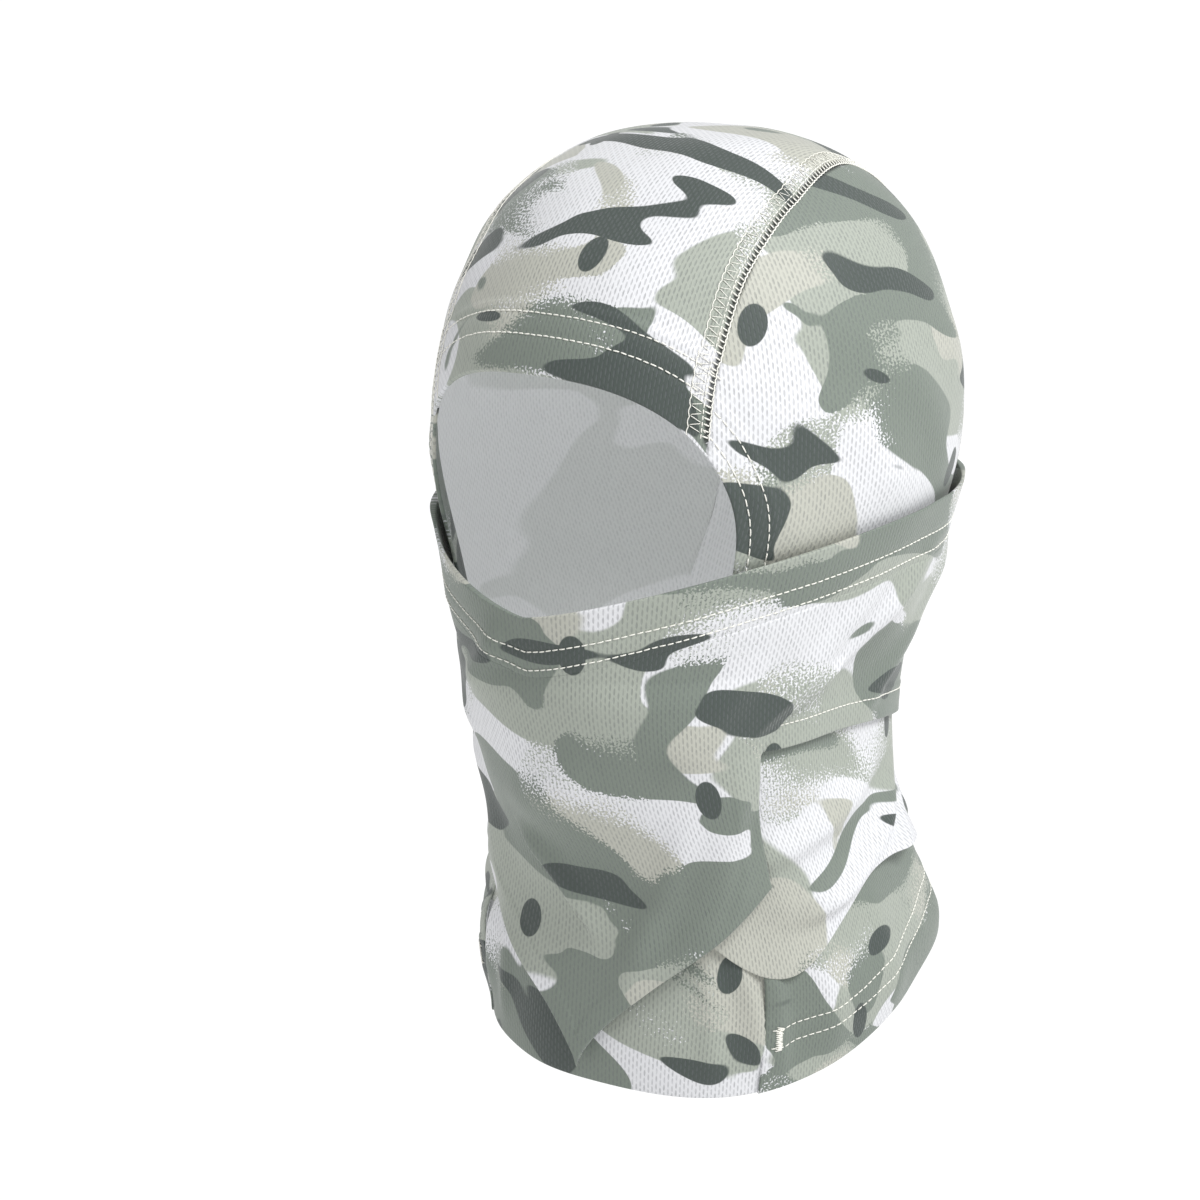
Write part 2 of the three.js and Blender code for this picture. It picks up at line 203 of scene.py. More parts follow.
def tube_low(angle):
    """The neck tube hangs lower beside the bib."""
    return TUBE_LOW - 28 * np.exp(-(((np.abs(unturned(angle)) - 50) / 24) ** 2))


def tube_top(angle):
    """The neck tube starts lower in front, behind the bib."""
    return -95 + (TUBE_TOP + 95) * smooth((np.abs(unturned(angle)) - 30) / 40)


def collar_rim(angle):
    """The collar's rim climbs from the chest to the nape."""
    share = (1 - np.cos(np.radians(angle))) / 2
    return CHEST_BOTTOM + (NAPE_RIM - CHEST_BOTTOM) * smooth(share)


def opening_edge(turn, distance=0.0):
    """The face opening as an angle and a height: a rounded arch, grown by a distance."""
    a = np.radians(turn)
    half = OPENING_HALF + np.degrees(distance / OPENING_REACH)
    height = np.where(np.sin(a) > 0, OPENING_UP, OPENING_DOWN) + distance
    across = np.sign(np.cos(a)) * np.abs(np.cos(a)) ** (2 / OPENING_ROUNDNESS)
    up = np.sign(np.sin(a)) * np.abs(np.sin(a)) ** (2 / OPENING_ROUNDNESS)
    return half * across, OPENING_MIDDLE + height * up


def opening_distance(angle, z):
    """How far a place is from the opening's edge, by halving the range that holds it."""
    angle, z = np.broadcast_arrays(angle, z)
    plain = np.where(z > OPENING_MIDDLE, OPENING_UP, OPENING_DOWN)
    near, far = np.full(angle.shape, -6.0), np.full(angle.shape, 60.0)
    for _ in range(26):
        middle = (near + far) / 2
        across = np.abs(angle) / (OPENING_HALF + np.degrees(middle / OPENING_REACH))
        up = np.abs(z - OPENING_MIDDLE) / (plain + middle)
        outside = across**OPENING_ROUNDNESS + up**OPENING_ROUNDNESS > 1
        near, far = np.where(outside, middle, near), np.where(outside, far, middle)
    return near


def crown_half(y):
    """Half the crown strip's breadth, which tapers behind the middle of the head."""
    return 50 - 16 * np.clip((y + 28) / 148, 0, 1)


def crown_point(share, turn, out=FABRIC):
    """Points of the crown strip, by share of its half breadth and direction seen from the side.

    0 is forwards and 90 is up. The surface is found by halving the range that holds it.
    """
    share, a, out = np.broadcast_arrays(share, np.radians(turn), out)
    near, far = np.zeros(a.shape), np.full(a.shape, 2.0 * CROWN_TOP)
    for _ in range(34):
        middle = (near + far) / 2
        y, z = -middle * np.cos(a), middle * np.sin(a)
        x = share * crown_half(y)
        length = np.maximum(np.where(y < 0, reach("front", z, out), reach("back", z, out)), 1e-6)
        side = np.maximum(reach("side", z, out), 1e-6)
        inside = (x / side) ** 2 + (y / length) ** 2 < 1
        near, far = np.where(inside, middle, near), np.where(inside, far, middle)
    return np.stack([x, y, z], axis=-1)


# ---- relief of worn cloth ----
def sway(points, size, wave=38.0, seed=5):
    """Worn cloth's unevenness: a few long waves through space, in mixed directions."""
    rng = np.random.default_rng(seed)
    total = 0.0
    for _ in range(6):
        direction = rng.normal(size=3)
        pitch = wave * rng.uniform(0.7, 1.6) * np.linalg.norm(direction)
        total = total + np.sin((points @ direction) * (2 * math.pi / pitch) + rng.uniform(0, 6.28))
    return size * total / 3


def crease(angle, z, start, end, width, height, bow=0.0, side=0.0):
    """A fold that runs from start to end, as (angle, height) places.

    It is a bell across its line, with a bow in the line and faded ends. A side other than 0 makes
    it rise slowly on one side and drop quickly on the other.
    """
    per_degree = 1.2
    p = np.stack(np.broadcast_arrays(angle * per_degree, z), axis=-1)
    a = np.array([start[0] * per_degree, start[1]])
    b = np.array([end[0] * per_degree, end[1]])
    length = np.hypot(*(b - a))
    d = (b - a) / length
    n = np.array([-d[1], d[0]])
    s = ((p - a) @ d) / length
    off = (p - a) @ n - bow * 4 * s * (1 - s)
    slow, quick = 1 + abs(side), 1 - 0.75 * abs(side)
    skewed = off / (width * np.where(off * side > 0, quick, slow))
    fade = smooth(s / 0.3) * smooth((1 - s) / 0.3)
    return height * np.exp(-(skewed**2)) * fade


def creases(angle, z, folds):
    """Many folds: each one's start, end, width, height, bow and side."""
    total = 0.0
    for start, end, width, height, bow, side in folds:
        total = total + crease(angle, z, start, end, width, height, bow, side)
    return total


def paired_creases(angle, z, folds):
    """Folds on the wearer's left, and the same ones mirrored on the right."""
    return creases(angle, z, folds) + creases(-angle, z, folds)


def pucker(length, distance, rows, pitch=STITCH, depth=0.42):
    """The dents that rows of stitches press into a hem, deeper at each stitch's ends."""
    total = 0.0
    for row in rows:
        near = np.exp(-(((distance - row) / 1.0) ** 2))
        total = total + near * (0.75 + 0.25 * np.cos(2 * np.pi * length / pitch))
    return -depth * total


def back_seam(angle):
    """The dent of the sewn join at the middle of the back."""
    off = 1.3 * (180 - np.abs(unturned(angle)))
    return -0.5 * np.exp(-((off / 1.1) ** 2))


def hem_step(distance, width):
    """The extra height of a turned hem, which ends where its raw edge lies inside."""
    return HEM_EXTRA * (1 - smooth((distance - width) / 1.5 + 0.5))


# ---- meshes ----
def add_mesh(name, points, faces, materials):
    mesh = bpy.data.meshes.new(name)
    mesh.from_pydata((points * 0.001).tolist(), [], faces)
    mesh.polygons.foreach_set("use_smooth", np.ones(len(mesh.polygons), bool))
    for material in materials:
        mesh.materials.append(material)
    piece = bpy.data.objects.new(name, mesh)
    bpy.context.scene.collection.objects.link(piece)
    return piece


def cloth_mesh(name, points, numbers, uv, materials, thickness=SHEET, groove_and_shade=None):
    """A sheet of cloth from a grid of points.

    points is (columns, rows, 3), numbers gives each grid place's point, and uv is where each
    place lies on the flat cloth, in millimetres. Solidify gives the sheet its thickness, inwards.
    The optional last argument, each point's depth in a seam from 0 to 1, also paints shade there.
    """
    corners = [
        (slice(None, -1), slice(None, -1)),
        (slice(1, None), slice(None, -1)),
        (slice(1, None), slice(1, None)),
        (slice(None, -1), slice(1, None)),
    ]
    faces = np.stack([numbers[c].ravel() for c in corners], axis=1)
    places = np.stack([uv[c].reshape(-1, 2) for c in corners], axis=1) * 0.001
    piece = add_mesh(name, points.reshape(-1, 3), faces.tolist(), materials)
    layer = piece.data.uv_layers.new(name="cloth")
    layer.data.foreach_set("uv", places.reshape(-1).astype(np.float32))
    if groove_and_shade is not None:
        # a point attribute from which the camouflage finish paints shade into the seam grooves
        shade = piece.data.attributes.new("groove_and_shade", "FLOAT", "POINT")
        shade.data.foreach_set("value", groove_and_shade.reshape(-1).astype(np.float32))
    wall = piece.modifiers.new("thickness", "SOLIDIFY")
    wall.thickness = thickness * 0.001
    wall.offset = -1
    wall.material_offset = 1
    wall.material_offset_rim = 0
    return piece


def grid_numbers(columns, rows, ring=False):
    """The point numbers of a grid, with the last column the first one again on a ring."""
    own = columns if ring else columns + 1
    i = np.arange(columns + 1) % own
    return i[:, None] * (rows + 1) + np.arange(rows + 1)[None, :]


def turned_edge(c):
    """A turned hem's profile: c runs from the raw edge inside, round the fold, to the outside.

    It gives the distance from the folded edge, and how far the sheet lies inwards.
    """
    quarter = FOLD * math.pi / 2
    phi = np.clip(c / FOLD, -math.pi / 2, math.pi / 2)
    along = FOLD * (1 - np.cos(phi)) + np.maximum(np.abs(c) - quarter, 0)
    return along, FOLD * (np.sin(phi) - 1)


def hem_stations(hem, length, cell):
    """Places along a turned edge: coarse inside, fine round the fold, even outside."""
    quarter = FOLD * math.pi / 2
    inside = np.linspace(-quarter - hem, -quarter, max(int(hem / 3), 2) + 1)[:-1]
    fold = np.linspace(-quarter, quarter, 9)[:-1]
    count = max(int((length - quarter) / cell), 2)
    return np.concatenate([inside, fold, np.linspace(quarter, length, count + 1)])


def settle(piece, body, slot, *nodes):
    """Put a piece on its body, in the place of nodes of the part, which it hides; slot is not
    used.
    """
    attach(piece, body)
    if nodes:
        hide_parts(*nodes)
    return piece


# ---- thread ----
def facing(surface, a, b, step=0.05):
    """Unit normals of a surface of two parameters, pointing away from the head's axis."""
    along = surface(a + step, b) - surface(a - step, b)
    up = surface(a, b + step) - surface(a, b - step)
    n = np.cross(along, up)
    n = n / np.linalg.norm(n, axis=-1, keepdims=True)
    outwards = np.sum(n * surface(a, b) * (1, 1, 0.6), axis=-1, keepdims=True)
    return n * np.where(outwards < 0, -1, 1)


def spindles(starts, ends, normals, radius, lift):
    """Short stitches: each is a thread that leaves the cloth, arches over it and goes back in.

    It is three rings of five points between two tips. It returns points and faces.
    """
    sides = np.radians(np.arange(5) * 72)
    share = np.array([0.0, 0.14, 0.5, 0.86, 1.0])
    rise = np.array([-0.5, 0.85, 1.0, 0.85, -0.5])
    thick = np.array([0.0, 0.9, 1.0, 0.9, 0.0])
    count = len(starts)
    along = (ends - starts) / np.linalg.norm(ends - starts, axis=1, keepdims=True)
    across = np.cross(along, normals)
    line = starts[:, None] + (ends - starts)[:, None] * share[:, None]
    line = line + normals[:, None] * (rise * lift)[:, None]
    round_it = (
        normals[:, None, None] * np.cos(sides)[:, None]
        + across[:, None, None] * np.sin(sides)[:, None]
    )
    rings = line[:, 1:4, None] + round_it * (radius * thick[1:4])[:, None, None]
    points = np.concatenate([line[:, :1], rings.reshape(count, 15, 3), line[:, 4:]], axis=1)
    i = np.arange(5)
    j = (i + 1) % 5
    first = np.stack([0 * i, 1 + j, 1 + i], axis=1)
    last = np.stack([0 * i + 16, 11 + i, 11 + j], axis=1)
    walls = [np.stack([r + i, r + j, r + 5 + j, r + 5 + i], axis=1) for r in (1, 6)]
    base = np.arange(count)[:, None, None] * 17
    faces = (base + np.concatenate([first, last])).reshape(-1, 3).tolist()
    faces += (base + np.concatenate(walls)).reshape(-1, 4).tolist()
    return points.reshape(-1, 3), faces


def laid_thread(line, normals, radius):
    """A thread that lies along a line: rings of five points, closed by a tip at each end."""
    sides = np.radians(np.arange(5) * 72)
    along = np.gradient(line, axis=0)
    across = np.cross(along, normals)
    across = across / np.linalg.norm(across, axis=1, keepdims=True)
    rings = line[:, None] + radius * (
        normals[:, None] * np.cos(sides)[:, None] + across[:, None] * np.sin(sides)[:, None]
    )
    count = len(line)
    tips = np.stack([line[0] - along[0] * 0.3, line[-1] + along[-1] * 0.3])
    points = np.concatenate([rings.reshape(-1, 3), tips])
    i = np.arange(5)
    j = (i + 1) % 5
    ring = np.arange(count - 1)[:, None, None] * 5
    walls = ring + np.stack([i, j, j + 5, i + 5], axis=1)
    last = (count - 1) * 5
    faces = walls.reshape(-1, 4).tolist()
    faces += np.stack([0 * i + count * 5, j, i], axis=1).tolist()
    faces += np.stack([0 * i + count * 5 + 1, last + i, last + j], axis=1).tolist()
    return points, faces


def row_of_stitches(points, normals, length, pitch, seed, radius=0.23):
    """Even stitches along a line, measured by length, each a little uneven."""
    rng = np.random.default_rng(seed)
    count = int((length[-1] - length[0]) / pitch)
    middle = length[0] + (np.arange(count) + 0.5) * pitch
    half = pitch * rng.uniform(0.42, 0.47, count)
    at = [np.stack([np.interp(s, length, points[:, k]) for k in range(3)], axis=1)
          for s in (middle - half, middle + half)]
    n = np.stack([np.interp(middle, length, normals[:, k]) for k in range(3)], axis=1)
    n = n / np.linalg.norm(n, axis=1, keepdims=True)
    across = np.cross(at[1] - at[0], n)
    across = across / np.linalg.norm(across, axis=1, keepdims=True)
    slip = rng.uniform(-0.09, 0.09, (2, count, 1))
    return spindles(at[0] + across * slip[0], at[1] + across * slip[1], n, radius, 0.24)


def thread_piece(name, runs, finish):
    """One mesh of many threads, each given as its points and faces."""
    start = 0
    points, faces = [], []
    for run_points, run_faces in runs:
        points.append(run_points)
        faces += [[start + k for k in face] for face in run_faces]
        start += len(run_points)
    return add_mesh(name, np.concatenate(points), faces, [finish])


# ---- camera ----
def make_camera():
    """A long lens at 33 degrees to the wearer's left and 13 degrees up."""
    turn, rise, distance = math.radians(33), math.radians(13), 0.836
    level = math.cos(rise)
    back = Vector((math.sin(turn) * level, -math.cos(turn) * level, math.sin(rise)))
    right = Vector((math.cos(turn), math.sin(turn), 0))
    up = back.cross(right)
    target = right * -0.0332 + up * -0.041
    data = bpy.data.cameras.new("camera")
    data.lens = 77.14
    data.sensor_width = 36
    camera = bpy.data.objects.new("camera", data)
    bpy.context.scene.collection.objects.link(camera)
    camera.location = back * distance
    camera.rotation_mode = "QUATERNION"
    camera.rotation_quaternion = (target - camera.location).to_track_quat("-Z", "Y")
    bpy.context.scene.camera = camera


make_camera()


# ---- shader maths ----
class Value:
    """A number or colour in a material, with ordinary maths on it."""

    def __init__(self, finish, socket):
        self.finish = finish
        self.socket = socket

    def maths(self, operation, *inputs):
        return self.finish.node("ShaderNodeMath", {"operation": operation}, inputs)

    def __add__(self, other):
        return self.maths("ADD", self, other)

    __radd__ = __add__

    def __sub__(self, other):
        return self.maths("SUBTRACT", self, other)

    def __rsub__(self, other):
        return self.maths("SUBTRACT", other, self)

    def __mul__(self, other):
        return self.maths("MULTIPLY", self, other)

    __rmul__ = __mul__

    def floor(self):
        return self.maths("FLOOR", self)

    def fract(self):
        return self.maths("FRACT", self)

    def over(self, edge, width):
        """1 above the edge and 0 below it, with a soft step of the given width."""
        settings = {"interpolation_type": "SMOOTHSTEP", "clamp": True}
        inputs = {"Value": self, "From Min": edge - width / 2, "From Max": edge + width / 2}
        return self.finish.node("ShaderNodeMapRange", settings, inputs)


class Finish:
    """A material whose nodes are made from expressions."""

    def __init__(self, name):
        self.material = bpy.data.materials.new(name)
        self.material.use_nodes = True
        self.tree = self.material.node_tree
        self.shader = self.tree.nodes["Principled BSDF"]

    def node(self, kind, settings, inputs, output=0):
        """A node of a kind: its settings first, then its sockets by name or in order."""
        made = self.tree.nodes.new(kind)
        for key, value in settings.items():
            setattr(made, key, value)
        for key, value in inputs.items() if isinstance(inputs, dict) else enumerate(inputs):
            self.put(made.inputs[key], value)
        return Value(self, made.outputs[output])

    def put(self, socket, value):
        if isinstance(value, Value):
            self.tree.links.new(value.socket, socket)
        else:
            socket.default_value = value

    def set(self, **sockets):
        """Sockets of the shader, with underscores for the spaces in their names."""
        for key, value in sockets.items():
            self.put(self.shader.inputs[key.replace("_", " ")], value)

    def mix(self, share, first, second):
        """A colour between two."""
        inputs = {0: share, 6: first, 7: second}
        return self.node("ShaderNodeMix", {"data_type": "RGBA"}, inputs, 2)

    def noise(self, vector, scale, detail=2.0, rough=0.5, distortion=0.0):
        inputs = {
            "Vector": vector,
            "Scale": scale,
            "Detail": detail,
            "Roughness": rough,
            "Distortion": distortion,
        }
        return self.node("ShaderNodeTexNoise", {"noise_dimensions": "2D"}, inputs)

    def scaled(self, vector, sizes):
        return self.node("ShaderNodeVectorMath", {"operation": "MULTIPLY"}, [vector, sizes])

    def bump(self, height, strength, distance):
        inputs = {"Strength": strength, "Distance": distance, "Height": height}
        self.set(Normal=self.node("ShaderNodeBump", {}, inputs))


def paint(code):
    """A colour from its screen code, in the renderer's linear values."""
    parts = [int(code[i : i + 2], 16) / 255 for i in (1, 3, 5)]
    return [*(((c + 0.055) / 1.055) ** 2.4 if c > 0.04045 else c / 12.92 for c in parts), 1]


WHITE_CLOTH = paint("#dadbde")
SAGE = paint("#9fa59b")
STONE = paint("#b4b5ab")
MOSS = paint("#757e75")
SLATE = paint("#414a46")


def knit(made, uv):
    """Birdseye knit: staggered rows of short upright slits, some deeper than others."""
    across = made.node("ShaderNodeSeparateXYZ", {}, [uv], 0) * (1000 / 1.25)
    up = made.node("ShaderNodeSeparateXYZ", {}, [uv], 1) * (1000 / 2.7)
    column = across.fract() - 0.5
    height = (up + across.floor() * 0.5).fract() - 0.5
    slit = 1 - (column * column * 15 + height * height * 4.6).over(0.7, 0.95)
    return slit * (made.noise(uv, 330, 1.0) * 1.3 + 0.2)


def camo_cloth(name, shift, turn=0.0, printed=0.0, dark=0.0):
    """Birdseye knit printed with a snow camouflage.

    The print is a stack of blobs cut from noise at falling sizes: sage and stone patches, moss
    shapes inside and beside them, then slate streaks and a few small upright ovals. Some
    patches end in a sprayed edge. shift is where the panel was cut from the printed cloth, in
    metres. printed and dark widen the pale and the slate shapes, or shrink them below 0.
    """
    made = Finish(name)
    uv = made.node("ShaderNodeUVMap", {"uv_map": "cloth"}, {})
    cut = {"Vector": uv, "Location": (*shift, 0), "Rotation": (0, 0, math.radians(turn))}
    place = made.node("ShaderNodeMapping", {"vector_type": "POINT"}, cut)
    wide = made.scaled(place, (0.62, 1, 1))
    sprayed = made.noise(place, 16, 1.0).over(0.52, 0.06)
    grain = (made.noise(place, 1300, 1.0) - 0.5) * sprayed * 0.34
    colour = WHITE_CLOTH
    sage = (made.noise(wide, 20, 1.5, 0.45, 0.5) + grain).over(0.515 - printed, 0.012)
    colour = made.mix(sage, colour, SAGE)
    stone = (made.noise(wide, 26, 1.5, 0.4, 0.4) + grain).over(0.6, 0.012)
    colour = made.mix(stone, colour, STONE)
    moss = (made.noise(wide, 28, 1.6, 0.45, 0.7) + grain * 0.6).over(0.575 - printed, 0.01)
    colour = made.mix(moss, colour, MOSS)
    long = {"Vector": place, "Rotation": (0, 0, 0.9), "Scale": (0.45, 1.15, 1)}
    streaks = made.node("ShaderNodeMapping", {"vector_type": "POINT"}, long)
    slate = made.noise(streaks, 42, 1.0, 0.4, 0.15).over(0.67 - dark, 0.01)
    colour = made.mix(slate, colour, SLATE)
    cells = {"Vector": made.scaled(place, (1, 0.62, 1)), "Scale": 30.0, "Randomness": 0.9}
    spots = made.node("ShaderNodeTexVoronoi", {"voronoi_dimensions": "2D"}, cells)
    lot = Value(made, spots.socket.node.outputs["Color"])
    chosen = made.node("ShaderNodeSeparateXYZ", {}, [lot], 0).over(0.66, 0.01)
    colour = made.mix((0.12 - spots).over(0.0, 0.01) * chosen, colour, SLATE)
    slit = knit(made, uv)
    # painted shade: the knit's slits are coloured darker grey, for the shade inside these small
    # holes
    colour = made.mix(slit * 0.36, colour, paint("#5f6367"))
    # painted shade: the cloth turns dark grey as deep as it lies in a seam's groove, for the
    # shadow under a flatlock's ladder
    groove_and_shade = made.node("ShaderNodeAttribute", {"attribute_name": "groove_and_shade"}, {}, 2)
    colour = made.mix(groove_and_shade * 0.85, colour, paint("#2f3433"))
    made.set(Base_Color=colour, Roughness=0.62, Sheen_Weight=0.25, Sheen_Roughness=0.4)
    made.bump(1 - slit, 0.5, 0.0003)
    return made.material


def cloth_inside_painted_glow(name):
    """The unprinted inside of the cloth, with the print's ghost showing through, and a painted
    glow.
    """
    made = Finish(name)
    uv = made.node("ShaderNodeUVMap", {"uv_map": "cloth"}, {})
    ghost = made.noise(made.scaled(uv, (0.62, 1, 1)), 22, 1.5, 0.45, 0.5).over(0.53, 0.03)
    colour = made.mix(ghost * 0.4, paint("#e2e3e4"), paint("#bcc0bb"))
    slit = knit(made, uv)
    # painted shade: the knit's slits are coloured darker grey, for the shade inside these small
    # holes
    colour = made.mix(slit * 0.2, colour, paint("#8b8e8e"))
    # painted light: a faint emission of the cloth's own colour stands in for light that comes
    # through the cloth
    made.set(Base_Color=colour, Roughness=0.8, Emission_Color=colour, Emission_Strength=0.16)
    made.bump(1 - slit, 0.4, 0.0003)
    return made.material


def thread_finish(name, code):
    """Twisted polyester thread."""
    made = Finish(name)
    at = made.node("ShaderNodeTexCoord", {}, {}, 3)
    inputs = {"Vector": at, "Scale": 2600.0, "Detail": 1.0}
    twist = made.node("ShaderNodeTexNoise", {"noise_dimensions": "3D"}, inputs)
    made.set(Base_Color=made.mix(twist, paint(code), paint("#f2f1ea")), Roughness=0.5)
    made.bump(twist, 0.5, 0.0001)
    return made.material


INSIDE = cloth_inside_painted_glow("cloth_inside_painted_glow")
WHITE_THREAD = thread_finish("white_thread", "#e6e5dc")
COVER_CLOTH = camo_cloth("camo_cover", (0.31, 0.12), printed=0.045, dark=0.015)
HOOD_CLOTH = camo_cloth("camo_hood", (1.7, 1.9), 24, printed=0.025, dark=0.015)
CROWN_CLOTH = camo_cloth("camo_crown", (0.05, 1.4), 4, printed=-0.03, dark=0.055)
NECK_CLOTH = camo_cloth("camo_neck", (0.7, 0.45), 8, dark=0.02)
COLLAR_CLOTH = camo_cloth("camo_collar", (1.3, 0.2), -12, printed=0.08, dark=0.02)
CHEST_CLOTH = camo_cloth("camo_chest", (2.1, 0.9), 20)


# ---- bands round the form ----
def band(name, columns, edge, hem, other, rows, outside, relief, cloth, up=1, span=(-180, 180)):
    """A band of cloth from a turned edge to another edge.

    Up from the fold it keeps real distances as far as the hem reaches, and shares what is left.
    up is -1 for a band that hangs from its turned edge. relief takes places, the distance from
    the fold and the points of the form, and gives millimetres outwards.
    """
    ring = span[1] - span[0] == 360
    angle = np.linspace(*span, columns + 1)[:, None]
    stations = hem_stations(hem - 1, hem + 1, 1.0)
    along, inward = turned_edge(stations)
    share = np.linspace(0, 1, rows + 1)[1:]
    start = edge(angle) + up * along[-1]
    z = np.concatenate([edge(angle) + up * along, start + (other(angle) - start) * share], axis=1)
    distance = np.abs(z - edge(angle))
    inward = np.concatenate([inward, np.zeros(rows)])
    shown = np.concatenate([stations > 0, np.ones(rows, bool)])
    angle = angle + 0 * z
    lift = relief(angle, z, distance, form_point(angle, z))
    points = form_point(angle, z, outside + inward + np.where(shown, lift, np.minimum(lift, 0)))
    uv = np.stack([around(angle), z], axis=-1)
    numbers = grid_numbers(columns, z.shape[1] - 1, ring)
    if up < 0:
        numbers, uv = numbers[:, ::-1], uv[:, ::-1]
    kept = points[:-1] if ring else points
    return cloth_mesh(name, kept, numbers, uv, [cloth, INSIDE])


def stitched(name, edge, rows, outside, span, pitch, seed, height=-40.0):
    """Rows of stitches that follow an edge at their distances from it.

    Their lengths are measured round the form at the given height.
    """
    angle = np.linspace(*span, 900)
    runs = []
    for i, distance in enumerate(rows):
        z = edge(angle) + distance
        points = form_point(angle, z, outside(angle, z))
        normals = facing(form_point, angle, z)
        runs.append(row_of_stitches(points, normals, around(angle, height), pitch, seed + i))
    return thread_piece(name, runs, WHITE_THREAD)


# ---- face cover ----
def cover_sag(angle, z, points):
    """The cover's slack: long folds from under the ears towards the chin."""
    folded = unturned(angle)
    folds = (
        ((104, -10), (60, -62), 4.2, 3.0, 3, 0.3),
        ((84, -16), (46, -72), 4.6, 2.5, 4, 0.3),
        ((130, -12), (84, -72), 5, 2.8, 4, 0.3),
        ((58, -34), (30, -78), 6.5, 2.2, 3, 0),
    )
    beside_nose = crease(folded, z, (-4, -26), (-30, -56), 5, 2.6, 2)
    return sway(points, 0.9) + paired_creases(folded, z, folds) + beside_nose + back_seam(angle)


def cover_band(angle, z, distance, points):
    dents = pucker(around(angle), distance, HEM_ROWS)
    flush = smooth((distance - 17.5) / 3)
    return cover_sag(angle, z, points) + HEM_EXTRA * (1 - 1.4 * flush) + dents


def cover_sheet(angle, z, distance, points):
    dents = pucker(around(angle), distance, [LOW_ROW])
    behind_bib = smooth((62 - np.abs(unturned(angle))) / 8) * smooth((-52 - z) / 6)
    return cover_sag(angle, z, points) + hem_step(distance, 10) + dents - 1.2 * behind_bib


def cover_under_band(angle):
    return cover_top(angle) - HEM_WIDTH + 0.6


cover_hem = band(
    "cover_top_hem", 360, cover_top, HEM_WIDTH, lambda angle: cover_top(angle) - HEM_WIDTH - 1.6,
    1, COVER, cover_band, COVER_CLOTH, -1,
)
settle(cover_hem, "cover_top", "camo_cloth", "cover_hem")
face_cover = band(
    "face_cover_cloth", 360, cover_low, 11, cover_under_band, 34, COVER, cover_sheet, COVER_CLOTH
)


def pulled(piece, *nodes):
    """Hide the nodes of the part that a piece stands in for, and bake the piece's place into its
    mesh.
    """
    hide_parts(*nodes)
    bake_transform(piece)


def edge_roll(distance, radius=0.9):
    """How far cloth turns inwards beside a folded edge: a quarter of a circle."""
    t = np.clip(1 - distance / radius, 0, 1)
    return radius * (1 - np.sqrt(np.clip(1 - t * t, 0, 1)))


def bib_folds(angle, z):
    """The bib's folds run from its upper corners and its sides down to the tip."""
    folds = (
        ((56, -60), (20, -152), 6.5, 3.8, 6, 0.4),
        ((44, -84), (8, -160), 5, 2.8, -4, 0),
        ((54, -98), (12, -172), 5, 3.2, 3, -0.4),
        ((-55, -66), (-14, -150), 6.5, 3.4, -6, -0.4),
        ((-21, -98), (6, -141), 3.2, 4.2, 2.5, -0.8),
        ((-48, -104), (-8, -166), 6, 1.8, -3, 0.4),
        ((16, -70), (-22, -98), 8, 1.6, 3, 0),
        ((2, -104), (26, -128), 7, -1.2, 0, 0),
    )
    return creases(angle, z, folds)


def front_bib():
    """The bib, a sheet whose top merges with the cover and whose edges are folded.

    Across, places are shares of the angle that the bib spans at their height. Down, they are
    shares of the way from the cover to the lower edge.
    """
    columns, rows = 190, 150
    rim = np.array([0, 0.12, 0.3, 0.55, 0.9, 1.4, 2.1])
    width = 132.0
    even = np.linspace(2.9, width - 2.9, columns - 2 * len(rim) + 1)
    share = np.concatenate([rim, even, width - rim[::-1]]) / width * 2 - 1
    share = share[:, None]
    low = bib_low(share * (BIB_SIDE - 4))
    t = 1 - np.concatenate([rim / 100, np.linspace(0.03, 1, rows - 6)])[None, ::-1]
    z = BIB_TOP + (low - BIB_TOP) * t
    angle = share * bib_half(z)
    points = form_point(angle, z)
    side = (1 - np.abs(share)) * bib_half(z) * 1.15
    lower = (z - low) * 0.72
    roll = edge_roll(np.minimum(side + 9 * smooth((z + 50) / 8), lower))
    over = smooth((-40 - z) / 13)
    lift = cover_sag(angle, z, points) + bib_folds(angle, z) + 1.7 * over - 0.3
    hem = 0.35 * (1 - smooth((np.minimum(side, lower) - 7) / 2)) * over
    points = form_point(angle, z, COVER + lift + hem - roll)
    uv = np.stack([around(angle), z], axis=-1)
    numbers = grid_numbers(z.shape[0] - 1, z.shape[1] - 1)[:, ::-1]
    materials = [COVER_CLOTH, INSIDE]
    return cloth_mesh("front_bib_cloth", points, numbers, uv[:, ::-1], materials, 0.9)


bib = front_bib()


def cover_outside(angle, z):
    """The outside of the cover's low hem, where a row of stitches lies."""
    points = form_point(angle, z)
    return COVER + HEM_EXTRA - SUNK + cover_sag(angle, z, points)


low_stitches = stitched(
    "cover_low_stitches", cover_low, (LOW_ROW,), cover_outside, (58, 302), STITCH, 41
)
pulled(face_cover, "face_cover")
pulled(bib, "front_bib")
pulled(low_stitches, "cover_low_stitch")
hem_stitches = stitched(
    "cover_hem_stitches", cover_top, [-d for d in HEM_ROWS], cover_outside, (-180, 180), STITCH, 43
)
settle(
    hem_stitches, "cover_top", "white_thread", "cover_hem_stitch_upper", "cover_hem_stitch_lower"
)


